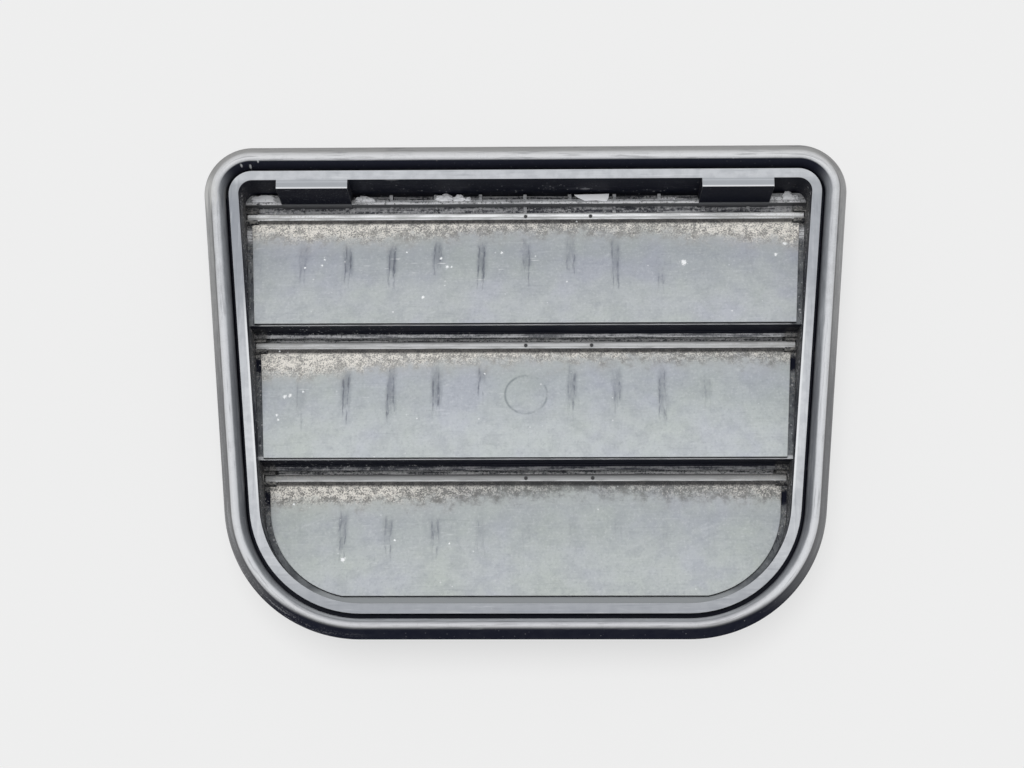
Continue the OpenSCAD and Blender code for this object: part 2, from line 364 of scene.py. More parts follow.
# tones across the seal's section, each at a distance out from the rim
sealWear = {
    "rubber": (0.0080, 0.0095, 0.0190),
    "film": (0.026, 0.028, 0.044),
    "sideBand": [
        (1.22, (0.012, 0.013, 0.017)),  # painted shade in the groove beside the rim
        (1.3, (0.185, 0.195, 0.215)), (1.72, (0.32, 0.333, 0.358)), (2.4, (0.44, 0.455, 0.48)),
        (2.64, (0.54, 0.555, 0.58)), (2.92, (0.67, 0.68, 0.705)),  # crest
        (3.84, (0.67, 0.68, 0.7)), (4.72, (0.6, 0.605, 0.62)),
        (4.98, (0.18, 0.179, 0.18)),  # painted shade in the crease outside the crest
        (5.4, (0.355, 0.354, 0.354)), (6.88, (0.385, 0.385, 0.385)), (7.44, (0.52, 0.52, 0.518)),
    ],
    "topBand": [  # no crease here, and palest at the inner side of the crest
        (2.4, (0.28, 0.295, 0.32)), (2.64, (0.72, 0.725, 0.74)), (3.1, (0.81, 0.812, 0.825)),
        (3.8, (0.64, 0.642, 0.652)), (4.5, (0.5, 0.5, 0.505)), (5.1, (0.33, 0.328, 0.326)),
        (6.88, (0.28, 0.277, 0.274)), (7.44, (0.4, 0.397, 0.393)),
    ],
    "lowBand": [  # dusty inner slope painted paler to make up for shade from the rim, painted shade in the groove, and a narrower crest
        (1.22, (0.03, 0.032, 0.038)), (1.34, (0.62, 0.64, 0.67)), (1.9, (0.62, 0.64, 0.67)),
        (2.25, (0.4, 0.412, 0.432)), (2.9, (0.56, 0.565, 0.59)), (3.4, (0.65, 0.652, 0.67)),
        (3.9, (0.47, 0.473, 0.485)), (4.25, (0.22, 0.222, 0.228)), (4.7, (0.048, 0.049, 0.054)),
        (5.2, (0.012, 0.013, 0.019)),
    ],
    "scuffAt": (-94.6, 58),
    "crumbs": [(-84.5, 67.3, 0.40), (-82, 67.4, 0.50), (-79.4, 68.3, 0.40), (62, 68.6, 0.45)],
}


def sealRubber():
    f = newFinish("sealRubber")
    where = f.place()
    x, y, z = f.parts(where)
    nz = f.facing()[2]
    sweep = f.node("ShaderNodeAttribute", {"attribute_name": "sweep"}, output="Vector")
    reach = f.parts(sweep)[2]
    side, top, low = [
        f.ramp(reach, 0, 8, sealWear[name]) for name in ("sideBand", "topBand", "lowBand")]
    paintedLightBand = f.coats(side, (f.rise(z, 60, 67), top), (f.rise(z, -58, -68), low))
    mottle = f.cloud(where, 0.35, 4, 0.6)
    grain = f.cloud(where, 2.2, 3, 0.7)
    drawn = f.node(
        "ShaderNodeVectorMath", {"operation": "MULTIPLY"}, {0: sweep, 1: (0.05, 0.05, 1)})
    streak = f.cloud(drawn, 1.9, 3, 0.6)

    # the crest is greyed all round, the slopes only where they don't look down, and less so on
    # the outer wall, between the top corners, outside the crest lower down, and low on the inside;
    # what faces down is left dark as painted shade
    bloomAndShade = f.larger(f.rise(nz, -0.82, -0.10), f.within(reach, 2.50, 3.90, 0.15))
    for loss in (
        0.6 * f.rise(y, -7.2, -5.6),
        0.12 * f.within(z, 24, 62, 9),
        0.46 * f.rise(z, 45, -10) * f.rise(reach, 4.9, 5.3),
        0.45 * f.within(z, -50, 10, 15) * f.within(reach, 1.70, 2.70, 0.20),
    ):
        bloomAndShade = bloomAndShade * (1 - loss)
    bloomAndShade = bloomAndShade * (0.80 + 0.40 * mottle) * (0.80 + 0.40 * grain)

    film = f.mix(f.rise(reach, 2.6, 2.2) * 0.8, sealWear["rubber"], sealWear["film"])
    shine = f.rise(streak, 0.56, 0.70) * bloomAndShade * f.rise(z, 66, 60)
    flecks = f.specks(where, 0.42, 0.12, 0.12, (grain - 0.5) * 0.1) * f.rise(y, -7, -8)
    dust = f.specks(where, 0.95, 0.24, 0.30, (grain - 0.5) * 0.2) * f.rise(bloomAndShade, 0.4, 0)
    scuffX, scuffZ = sealWear["scuffAt"]
    scuff = f.rise(f.length(x - scuffX, z - scuffZ), 8, 2) * f.rise(streak, 0.46, 0.58)
    # dust that clings to the outer wall at the lower left
    cling = f.rise(streak + (grain - 0.5) * 0.8, 0.52, 0.64) * f.rise(reach, 5.2, 6.2)
    cling = cling * f.rise(z, 10, -45) * f.rise(x, -40, -70)
    colour = f.coats(
        film,
        (bloomAndShade, paintedLightBand),
        (f.rise(streak, 0.47, 0.30) * 0.36 * bloomAndShade, (0.060, 0.063, 0.075)),
        (shine * 0.20, (0.74, 0.745, 0.75)),
        (flecks * 0.6, (0.55, 0.55, 0.53)),
        (dust * 0.6, (0.22, 0.22, 0.23)),
        (scuff * 0.6, (0.60, 0.60, 0.58)),
        (cling * 0.45, (0.36, 0.362, 0.375)))
    for crumbX, crumbZ, size in sealWear["crumbs"]:
        near = f.length(x - crumbX, z - crumbZ) + (grain - 0.5) * size
        colour = f.mix(f.rise(near, size, size * 0.3), colour, (0.72, 0.73, 0.74))
    return f.close(
        colour, 0.5 + 0.3 * f.rise(mottle, 0.35, 0.6), specular=0.07,
        bump=grain + 0.6 * mottle + 0.5 * streak, strength=0.25, depth=0.00012)


# flaps: a thin blade that hangs from its own round rod

flap = {
    "lean": 16.6,
    "thickness": 1.0,
    "length": 37.2523,
    "sideInset": 4.55,
    "rodRadius": 1.25,
    "rodEndGap": 0.4,
    "ledge": 3.5,
    "ledgeGap": 0.5,
    "bladeTop": 0.5,  # below the rod's axis
    "notchRadius": 2.7,
    "edgeRound": 0.22,
    "rodRound": 0.25,
    "bendSteps": 24,
}
flapLean = math.radians(flap["lean"])


def bladeOutline(rodHeight):
    # points (x, way down the blade), from the right end of the rod round to the left
    wide = halfWidth(rodHeight, vent["rimWidth"])
    notchX = wide - flap["ledge"] / math.cos(sideLean) - flap["ledgeGap"]
    x0, z0, radius = cornerCircle(False, flap["sideInset"])
    bottom = rodHeight - flap["length"] * math.cos(flapLean)

    def edge(height):
        if height >= z0:
            return halfWidth(height, flap["sideInset"])
        return x0 + math.sqrt(max(radius ** 2 - (height - z0) ** 2, 0))

    top = rodHeight - flap["notchRadius"] * math.cos(flapLean)
    heights = [top, max(z0, bottom)]
    if bottom < z0:
        steps = flap["bendSteps"]
        last = math.asin((z0 - bottom) / radius)
        heights = [top] + [z0 - radius * math.sin(last * k / steps) for k in range(steps + 1)]
    side = [(notchX, flap["bladeTop"]), (notchX, flap["notchRadius"])]
    side += [(edge(h), (rodHeight - h) / math.cos(flapLean)) for h in heights]
    return side + [(-x, v) for x, v in reversed(side)]


def roundedPlate(bm, outline, halfThick, edgeRound, place, steps=3):
    # a flat plate on the outline, with its front and back edges rounded
    rings = []
    count = len(outline)
    flat = [Vector(p) for p in outline]
    inward = []
    for i, here in enumerate(flat):
        a = (here - flat[i - 1]).normalized()
        b = (flat[(i + 1) % count] - here).normalized()
        normal = Vector((-(a.y + b.y), a.x + b.x)).normalized()
        inward.append(normal / max(0.5, normal.dot(Vector((-a.y, a.x)))))
    area = sum(flat[i - 1].x * flat[i].y - flat[i].x * flat[i - 1].y for i in range(count))
    turn = 1 if area > 0 else -1
    for sign in (1, -1):
        for k in range(steps + 1):
            angle = math.pi / 2 * (k if sign < 0 else steps - k) / steps
            inset = turn * edgeRound * (1 - math.cos(angle))
            lift = sign * (halfThick - edgeRound * (1 - math.sin(angle)))
            rings.append([bm.verts.new(place(p.x + d.x * inset, p.y + d.y * inset, lift))
                          for p, d in zip(flat, inward)])
    for upper, lower in zip(rings, rings[1:]):
        for i in range(count):
            j = (i + 1) % count
            bm.faces.new((upper[i], upper[j], lower[j], lower[i])).smooth = True
    bm.faces.new(rings[0])
    bm.faces.new(list(reversed(rings[-1])))


def lathedRod(bm, radius, length, rounding, centre, sides=40, endSteps=4):
    # a rod along x with rounded ends, in the second material of its piece
    profile = [(-length / 2, 0)]
    for k in range(endSteps + 1):
        angle = math.pi / 2 * k / endSteps
        profile.append((-length / 2 + rounding * (1 - math.cos(angle)),
                        radius - rounding * (1 - math.sin(angle))))
    profile += [(-x, r) for x, r in reversed(profile)]
    rings = []
    for x, r in profile:
        ring = []
        for k in range(sides if r > 0 else 1):
            turn = 2 * math.pi * k / sides
            point = Vector((x, centre[0] + r * math.cos(turn), centre[1] + r * math.sin(turn)))
            ring.append(bm.verts.new(point * millimetre))
        rings.append(ring)
    for a, b in zip(rings, rings[1:]):
        for k in range(sides):
            j = (k + 1) % sides
            corners = [a[k % len(a)], a[j % len(a)], b[j % len(b)], b[k % len(b)]]
            distinct = list(dict.fromkeys(corners))
            face = bm.faces.new(distinct)
            face.smooth = len(distinct) == 4
            face.material_index = 1


def buildFlap(name, rodHeight, node, materials):
    down = Vector((0, -math.sin(flapLean), -math.cos(flapLean)))
    front = Vector((0, -math.cos(flapLean), math.sin(flapLean)))
    axis = Vector((0, vent["rodDepth"], rodHeight))

    def place(x, v, lift):
        return (axis + Vector((x, 0, 0)) + down * v + front * lift) * millimetre

    bm = bmesh.new()
    roundedPlate(bm, bladeOutline(rodHeight), flap["thickness"] / 2, flap["edgeRound"], place)
    rodLength = 2 * (halfWidth(rodHeight, vent["rimWidth"]) - flap["rodEndGap"])
    lathedRod(bm, flap["rodRadius"], rodLength, flap["rodRound"], (vent["rodDepth"], rodHeight))
    bmesh.ops.recalc_face_normals(bm, faces=bm.faces)
    mesh = bpy.data.meshes.new(name)
    bm.to_mesh(mesh)
    bm.free()
    newPiece(name, mesh, materials, node, [node])


# marks: strength, start and end below the rod in millimetres, one for each rib from -6 to 6
# grit: density, depth in millimetres and paleness, at nine even places across
# crumbs: x, z and radius; rod: tones of its upper line, the darker band between and its lower line,
# the lines being painted highlights
flapWear = {
    "upper": {
        "seed": 3, "nicks": 0.9, "ring": False, "rod": (0.95, 0.50, 0.92),
        "upperTone": (0.367, 0.392, 0.418), "lowerTone": (0.460, 0.485, 0.500),
        "marks": [(0.1, 9, 20), (0.4, 8, 23), (0.85, 10, 23), (0.9, 9, 22), (0.85, 9, 20),
                  (0.9, 9, 23), (0.7, 9, 21), (0.65, 8, 18), (0.6, 8, 24), (0.45, 17, 25),
                  (0.1, 9, 20), (0.08, 9, 20), (0.05, 9, 20)],
        "grit": [(1, 7.6, 0.7), (0.95, 8, 0.7), (0.85, 7.6, 0.65), (0.75, 6.4, 0.52),
                 (0.70, 5.8, 0.46), (0.70, 5.8, 0.48), (0.75, 6.2, 0.6), (0.95, 7.6, 0.72),
                 (1, 9.2, 0.70)],
        "crumbs": [(47.6, 39.6, 1.05), (78.2, 45.8, 0.7), (75.2, 42.1, 0.6), (-30.3, 28.2, 0.55),
                   (-23.3, 38.4, 0.6), (-25.2, 41.2, 0.5), (-61, 39, 0.45),
                   (-60.2, 40.9, 0.4), (-66, 38.2, 0.4), (-22, 38.3, 0.35),
                   (-7, 43, 0.45), (-35.6, 43.4, 0.35)]},
    "middle": {
        "seed": 47, "nicks": 0.3, "ring": True, "rod": (0.58, 0.48, 0.77),
        "upperTone": (0.425, 0.455, 0.480), "lowerTone": (0.508, 0.540, 0.548),
        "marks": [(0.05, 9, 20), (0.3, 12, 24), (0.9, 7, 22), (0.95, 6, 24), (0.9, 7, 21),
                  (0.85, 7, 15), (0, 9, 20), (0.7, 7, 21), (0.65, 9, 23), (0.7, 7, 23),
                  (0.3, 9, 20), (0.08, 9, 20), (0.05, 9, 20)],
        "grit": [(1, 9, 0.75), (1, 9.4, 0.8), (0.9, 6.4, 0.85), (0.95, 6, 0.80),
                 (0.92, 5.2, 0.72), (0.84, 4.6, 0.60), (0.72, 4.6, 0.42), (0.72, 5.2, 0.38),
                 (0.74, 5.4, 0.36)],
        "crumbs": [(-71.2, -1.2, 0.75), (-69.6, -0.8, 0.6), (-65.8, 0.4, 0.4),
                   (-73.2, -7, 0.5), (-72.6, -8.4, 0.4), (-12, 6, 0.3)]},
    "lower": {
        "seed": 91, "nicks": 0.25, "ring": False, "rod": (0.25, 0.38, 0.73),
        "upperTone": (0.412, 0.441, 0.449), "lowerTone": (0.473, 0.504, 0.504),
        "marks": [(0, 12, 22), (0.1, 12, 22), (0.75, 12, 24), (0.6, 12, 22), (0.65, 12, 22),
                  (0.3, 12, 22), (0.15, 12, 22), (0.15, 12, 22), (0.12, 12, 22), (0.1, 12, 22),
                  (0.1, 12, 22), (0.05, 12, 22), (0, 12, 22)],
        "grit": [(1, 7.6, 0.4), (1, 8.2, 0.4), (0.9, 8, 0.45), (0.65, 6.8, 0.2),
                 (0.45, 5.4, 0), (0.4, 4.6, 0), (0.45, 5.4, 0.1), (0.7, 6.2, 0.25),
                 (0.8, 6.4, 0.3)],
        "crumbs": [(-52.7, -49.8, 0.85), (-37.9, -43.9, 0.4), (-68, -32.9, 0.4),
                   (-22, -45, 0.3)]},
}

# where the marks and the grit lie on the blades, and the worn places on the rods
rubbed = {
    "pitch": 13.4,
    "shift": 0.45,
    "deepest": 40,  # the scale of the marks' starts and ends
    "gritReach": 84.0,
    "gritDeepest": 16,
    "ringAt": (0.3, -0.7),
    "ringLine": (5.9, 6.5),
    "gates": (0.2, 19.9),
    "gateRadius": 0.72,
}


def ribMarks(f, wear, x, down):
    # amounts of the smudge that each rib behind has pressed, and of the one or two lines in it
    across = x - rubbed["shift"]
    reach, half = 6 * rubbed["pitch"], rubbed["pitch"] / 2
    deepest = rubbed["deepest"]
    marks = [(strength, start / deepest, end / deepest) for strength, start, end in wear["marks"]]
    strength, start, end = f.along(across, -reach, reach, marks)
    start, end = start * deepest, end * deepest
    seeded = (wear["seed"], 0, 0)
    wander = f.cloud(f.place((1, 1, 0.10)), 0.4, 2)
    fine = f.cloud(f.place((2.6, 1, 0.12)), 0.9, 3, 0.7)
    ragged = f.cloud(f.place((1, 1, 0.06), seeded), 0.7, 2)
    breaks = f.cloud(f.place((1, 1, 0.4), seeded), 0.5, 3, 0.6)
    off = f.node("ShaderNodeMath", {"operation": "WRAP"},
                 {0: across + (wander - 0.5) * 2, 1: half, 2: -half})
    below = down + (ragged - 0.5) * 12.0
    strength = strength * (0.70 + 0.45 * f.rise(breaks, 0.32, 0.62))
    smudge = f.rise(abs(off), 2.3, 0.6) * f.rise(fine, 0.08, 0.52)
    smudge = smudge * f.within(below, start, end - 3, 3)
    left = f.within(off, -1.05, -0.60, 0.3) * f.rise(ragged, 0.42, 0.54)
    right = f.within(off, 0.45, 0.95, 0.3) * f.rise(ragged, 0.58, 0.46)
    lines = f.larger(left, right) * f.rise(fine, 0.28, 0.56)
    lines = lines * f.within(below, start + 1, end + 1, 2)
    return smudge * strength, lines * strength


def gatheredGrit(f, wear, x, down, seeded, patch, cloudy):
    # layers of grit under the rod with a painted shadow just beneath it, then where the grit lies
    # and its grains
    reach, deepest = rubbed["gritReach"], rubbed["gritDeepest"]
    knots = [(density, depth / deepest, pale) for density, depth, pale in wear["grit"]]
    density, depth, paleness = f.along(x, -reach, reach, knots)
    edge = down + (cloudy - 0.5) * 7.5 + (patch - 0.5) * 4.0 - depth * deepest
    blot = f.cloud(seeded, 0.42, 4, 0.7)
    coarse = f.cloud(seeded, 2.3, 3, 0.7)
    grit = f.rise(edge + (blot - 0.5) * 10, 2.8, -2.8)
    pale = coarse + (blot - 0.5) * 0.75 + (density - 1) * 0.12 - 0.08 * f.rise(edge, -5, 2)
    light = f.mix(f.rise(paleness, 0, 0.6), (0.590, 0.565, 0.525), (0.865, 0.825, 0.762))
    tone = f.coats(
        (0.095, 0.093, 0.089),
        (paleness, (0.440, 0.427, 0.403)),
        (f.rise(coarse, 0.48, 0.35) * (0.90 - 0.45 * paleness), (0.110, 0.107, 0.102)),
        (f.rise(pale, 0.38, 0.58), light))
    layers = [
        (f.rise(edge, 5.5, -1.5) * 0.34 * density, (0.560, 0.550, 0.520)),  # film round the grit
        (grit * (0.56 + 0.40 * density), tone),
        (f.rise(down, 2.9, 1.9) * 0.9, (0.018, 0.018, 0.020)),  # painted shadow beneath the rod
    ]
    return layers, grit, coarse


def bladeSkin(name, rodHeight, wear):
    # faded plastic: grit under the rod, marks where ribs have pressed, fine scratches and flecks
    f = newFinish(name)
    x, _, z = f.parts(f.place())
    _, ny, nz = f.facing()
    seed = wear["seed"]
    seeded = f.place(shift=(seed, 0, seed))
    down = rodHeight - z  # millimetres below the rod
    patch = f.cloud(seeded, 0.045, 4, 0.6)
    cloudy = f.cloud(seeded, 0.22, 4, 0.6)
    grain = f.cloud(seeded, 2.6, 2, 0.6)
    hue = f.cloud(f.place(shift=(0, seed, 9)), 0.055, 3, 0.6)
    skin = f.coats(
        wear["upperTone"],
        (f.rise(down, 12, 30), wear["lowerTone"]),
        (f.rise(patch, 0.38, 0.68) * 0.35, (0.46, 0.49, 0.475)),
        (f.rise(cloudy, 0.60, 0.36) * 0.26, (0.27, 0.29, 0.325)))
    skin = f.mix(f.rise(hue, 0.48, 0.66), skin, (1, 0.988, 1.045), "MULTIPLY")
    skin = f.mix(f.rise(hue, 0.50, 0.34), skin, (1, 1.010, 0.975), "MULTIPLY")

    # streaks along the blade and down it, slanted wipes, a speckle and thin bright nicks
    along = f.cloud(f.place((0.05, 1, 1)), 1.6, 4, 0.65)
    across = f.cloud(f.place((1, 1, 0.06), (seed, 0, 0)), 1.1, 3, 0.6)
    slant = f.node("ShaderNodeCombineXYZ", None, {"X": x * 0.05 + z * 0.10, "Y": z - x * 0.42})
    wiped = f.cloud(slant, 0.45, 4, 0.6)
    speckle = f.cloud(seeded, 1.3, 3, 0.7)
    nicks = f.specks(f.place((0.24, 1, 2.4), (0, 0, seed)), 0.50, 0.26, 0.42)
    nicks = nicks * f.within(down, 10, 22, 3) * f.rise(x, 20, -20) * wear["nicks"]
    smudge, lines = ribMarks(f, wear, x, down)
    skin = f.coats(
        skin,
        (f.rise(along, 0.56, 0.72) * 0.20, (0.64, 0.66, 0.67)),
        (f.rise(along, 0.44, 0.28) * 0.20, (0.22, 0.24, 0.27)),
        (f.rise(across, 0.58, 0.74) * 0.20, (0.26, 0.28, 0.32)),
        (f.rise(wiped, 0.56, 0.72) * 0.16, (0.62, 0.64, 0.65)),
        (f.rise(wiped, 0.44, 0.28) * 0.14, (0.22, 0.24, 0.28)),
        (f.rise(speckle, 0.53, 0.70) * 0.24, (0.70, 0.71, 0.72)),
        (f.rise(speckle, 0.47, 0.30) * 0.24, (0.20, 0.22, 0.25)),
        (nicks, (0.90, 0.91, 0.92)),
        (smudge * 0.60, (0.15, 0.165, 0.195)),
        (lines * 0.80, (0.075, 0.085, 0.115)))
    if wear["ring"]:  # the round mark of the ring behind
        ringX, ringZ = rubbed["ringAt"]
        ring = f.within(f.length(x - ringX, (z - ringZ) * 1.03), *rubbed["ringLine"], 0.3)
        skin = f.mix(ring * f.rise(cloudy, 0.36, 0.60) * 0.6, skin, (0.13, 0.155, 0.17))
    layers, grit, coarse = gatheredGrit(f, wear, x, down, seeded, patch, cloudy)
    flecks = f.specks(seeded, 0.33, 0.14, 0.20, (grain - 0.5) * 0.12)
    skin = f.coats(skin, *layers, (flecks * 0.8, (0.80, 0.81, 0.82)))
    for crumbX, crumbZ, size in wear["crumbs"]:
        near = f.length(x - crumbX, z - crumbZ) + (coarse - 0.5) * size * 3.0
        skin = f.mix(f.rise(near, size, size * 0.4), skin, (0.90, 0.91, 0.92))

    # bare black plastic on what faces back, and near black on what faces down as painted shade
    back = f.coats(
        (0.038, 0.040, 0.047),
        (f.rise(cloudy, 0.35, 0.75), (0.055, 0.058, 0.066)),
        (f.rise(along, 0.55, 0.70) * 0.2, (0.13, 0.135, 0.145)))
    bare = f.mix(f.rise(ny, 0.2, 0.8), (0.010, 0.011, 0.016), back)
    dustyUnlessDown = f.rise(ny, 0.1, -0.55) * f.rise(nz, -0.80, -0.40)
    return f.close(
        f.mix(dustyUnlessDown, bare, skin), 0.52 + 0.30 * grit + 0.12 * cloudy, specular=0.3,
        bump=grain * 0.3 + coarse * grit * 1.2 - lines * 0.6 + along * 0.3,
        strength=0.35, depth=0.00015)


def rodSkin(name, rodHeight, wear):
    # painted highlights along two lines, darker between them, painted shade below, and two small
    # gate marks
    f = newFinish(name)
    x, _, z = f.parts(f.place())
    _, ny, nz = f.facing()
    upper, between, lower = wear["rod"]

    def grey(tone):
        return (tone * 0.99, tone, tone * 1.01)

    # painted highlights along two lines and painted shade underneath, by which way the surface
    # faces
    paintedLightBand = f.ramp(nz, -1, 1, [(up, grey(tone)) for up, tone in (
        (-1, 0.02), (-0.93, lower * 0.4), (-0.84, lower * 0.9), (-0.72, lower), (-0.58, lower),
        (-0.42, between), (-0.25, between), (-0.05, upper), (0.28, upper), (0.50, upper * 0.8),
        (0.72, upper * 0.5), (1, 0.10))])
    cloudy = f.cloud(f.place((0.12, 1, 1), (wear["seed"], 0, 0)), 0.9, 4, 0.65)
    grain = f.cloud(f.place(shift=(wear["seed"], 0, 0)), 2.4, 3, 0.65)
    towardEnd = f.rise(abs(x), 40, 76)
    wornAndHighlit = f.coats(
        paintedLightBand,
        (f.rise(cloudy, 0.58, 0.36) * 0.55, grey(between * 0.55)),
        (f.rise(grain, 0.60, 0.72) * 0.35, (0.12, 0.12, 0.12)),
        (f.rise(grain, 0.50, 0.60) * towardEnd * 0.45, (0.42, 0.40, 0.37)))
    for gateX in rubbed["gates"]:
        near = f.length(x - gateX, z - rodHeight + 0.1)
        wornAndHighlit = f.mix(f.rise(near, rubbed["gateRadius"], 0.42), wornAndHighlit, (0.010, 0.010, 0.012))
    colour = f.mix(f.rise(ny, 0.30, -0.10), (0.022, 0.023, 0.028), wornAndHighlit)
    return f.close(colour, 0.42 + 0.25 * cloudy, specular=0.4,
                   bump=grain + cloudy, strength=0.25, depth=0.0001)


# frame: the CAD's own solid, with dust on what faces out, partly painted reflection on the rim, and
# bare plastic on what faces down

frameWear = {
    "bare": (0.0070, 0.0084, 0.0170),
    "sheen": (0.048, 0.052, 0.064),
    "edge": (0.70, 0.72, 0.74),
    "grit": (0.36, 0.35, 0.33),
    "crumb": (0.55, 0.55, 0.54),
    "rimTones": [  # by height, partly painted reflection: palest at the sides below the middle, duller low and high
        (-65, (0.37, 0.385, 0.412)), (-61, (0.4, 0.415, 0.44)), (-50, (0.57, 0.585, 0.61)),
        (-35, (0.59, 0.605, 0.63)), (-15, (0.68, 0.695, 0.715)), (5, (0.59, 0.605, 0.63)),
        (18, (0.5, 0.515, 0.54)), (32, (0.36, 0.378, 0.41)), (55, (0.325, 0.341, 0.373)),
        (61.5, (0.38, 0.396, 0.42)), (63.5, (0.57, 0.586, 0.612)),
    ],
    "edgeRadius": 0.00022,  # metres
}


def frameFields(f):
    # what several finishes of the frame share: place, facing, noises and zones
    p = SimpleNamespace()
    where = f.place()
    p.x, p.y, p.z = f.parts(where)
    p.nx, p.ny, p.nz = f.facing()
    p.cloudy = f.cloud(where, 0.25, 4, 0.6)
    p.grain = f.cloud(where, 2.4, 3, 0.65)
    p.coarse = f.cloud(where, 1.3, 5, 0.78)
    p.along = f.cloud(f.place((0.06, 1, 1)), 1.4, 3, 0.6)
    p.upright = f.cloud(f.place((1, 1, 0.06)), 1.4, 3, 0.6)
    p.ragged = p.along + (p.coarse - 0.5) * 0.9
    p.flecked = p.coarse + (p.grain - 0.5) * 0.5
    p.sparks = f.rise(p.grain + (p.coarse - 0.5) * 0.4, 0.60, 0.70)
    p.dots = f.specks(f.place((1, 0.6, 1)), 0.95, 0.42, 0.45, (p.grain - 0.5) * 0.4)
    p.flecks = f.specks(where, 0.40, 0.12, 0.25, (p.grain - 0.5) * 0.1)

    # distance in from the rim's outer edge, at the sides alone and then all round
    p.sideInset = (halfWidth(0, 0) + p.z * math.tan(sideLean) - abs(p.x)) * math.cos(sideLean)
    cornerX, cornerZ, radius = cornerCircle(False, 0)
    bend = radius - f.length(f.larger(abs(p.x) - cornerX, 0), f.larger(cornerZ - p.z, 0))
    bend = bend + (p.z > cornerZ) * 100.0
    p.inset = f.sum("MINIMUM", f.sum("MINIMUM", bend, p.sideInset), vent["height"] / 2 - p.z)

    p.front = f.rise(p.ny, -0.80, -0.93)
    p.under = f.rise(p.nz, -0.5, -0.92)
    p.sideways = f.rise(abs(p.nx), 0.6, 0.95)
    p.within = f.rise(p.inset, 2.2, 2.7)
    p.onRim = p.front * f.rise(p.y, -7.4, -7.8)
    p.besideWall = f.rise(p.sideInset, 9, 6.5)
    fromRod = p.z - vent["rodHeights"][1]
    p.nearRods = f.nearest(fromRod, vent["baySpacing"])
    belowRods = f.rise(f.nearest(fromRod + 6, vent["baySpacing"]), 15, 3)
    p.besideRods = belowRods * f.rise(p.sideInset, 11, 7) * f.rise(p.y, -7, -2) * p.within
    p.wallGrit = f.rise(p.coarse, 0.50, 0.60) * (0.16 + 0.75 * p.besideRods)
    p.wallGrit = p.wallGrit * f.rise(p.y, -7.6, -3) * p.within
    return p


def rimTone(f, p):
    # face of the rim, drawn along its run, with a painted highlight along its inner edge
    drawn = f.mix(f.rise(p.sideInset, 3.6, 3.2), p.along, p.upright)
    innerEdgeHighlight = f.rise(p.inset, 2.05, 2.45) * f.within(p.z, -33, 24, 9)
    onHousing = f.within(abs(p.x), *vent["housingSpan"], 0.05)
    onHousing = onHousing * f.within(p.z, *vent["housingHeights"], 0.05)
    return f.coats(
        f.ramp(p.z, -66, 66, frameWear["rimTones"]),
        (f.rise(p.x, 20, 60) * f.rise(p.z, 0, -20) * 0.25, (0.42, 0.43, 0.45)),
        (f.rise(p.x, 30, 80) * f.within(p.z, 15, 62, 6) * 0.35, (0.55, 0.565, 0.59)),
        (f.rise(drawn, 0.55, 0.75) * 0.35, (0.78, 0.79, 0.81)),
        (f.rise(drawn, 0.45, 0.30) * 0.25, (0.20, 0.21, 0.24)),
        (f.rise(p.cloudy, 0.60, 0.38) * 0.22, (0.26, 0.275, 0.305)),
        (f.rise(p.grain, 0.58, 0.72) * 0.22, (0.30, 0.31, 0.33)),
        (innerEdgeHighlight * 0.8, (0.84, 0.85, 0.865)),
        # the snap housings, with a line where each meets the rim and a painted highlight along the
        # lower edge
        (onHousing * 0.75, (0.370, 0.388, 0.412)),
        (onHousing * f.within(p.z, 62.2, 62.4, 0.14) * 0.5, (0.64, 0.66, 0.69)),
        (onHousing * f.rise(p.z, 60.85, 60.55) * 0.9, (0.78, 0.79, 0.81)))


def wallTone(f, p):
    # bare plastic, and side walls with a slight painted sheen, kept off near the top as painted
    # shade, hanging streaks, grit by the rods and dots
    bare, sheen = frameWear["bare"], frameWear["sheen"]
    hanging = f.cloud(f.place((0.3, 0.3, 0.08)), 1.4, 3, 0.6)
    onWall = p.sideways * f.rise(p.y, -7.6, -5) * p.within * f.rise(p.z, 61, 58)
    bright = f.larger(p.sparks * 0.3, p.dots) * p.sideways * p.within * f.rise(p.y, -7.6, -4)
    return f.coats(
        bare,
        (f.rise(p.cloudy, 0.45, 0.75) * 0.15, sheen),
        (p.sideways * f.rise(p.y, -7.9, -4) * f.rise(p.z, 58, 52) * 0.55, sheen),
        (f.rise(hanging, 0.52, 0.40) * onWall * 0.85, bare),
        (f.rise(hanging, 0.50, 0.60) * onWall * 0.6, (0.215, 0.220, 0.238)),
        (p.sideways * p.besideRods * 0.4, (0.115, 0.118, 0.124)),
        (p.wallGrit * f.rise(p.nz, -0.92, -0.5), frameWear["grit"]),
        (bright * (0.06 + 0.84 * p.besideWall), (0.88, 0.88, 0.90)))


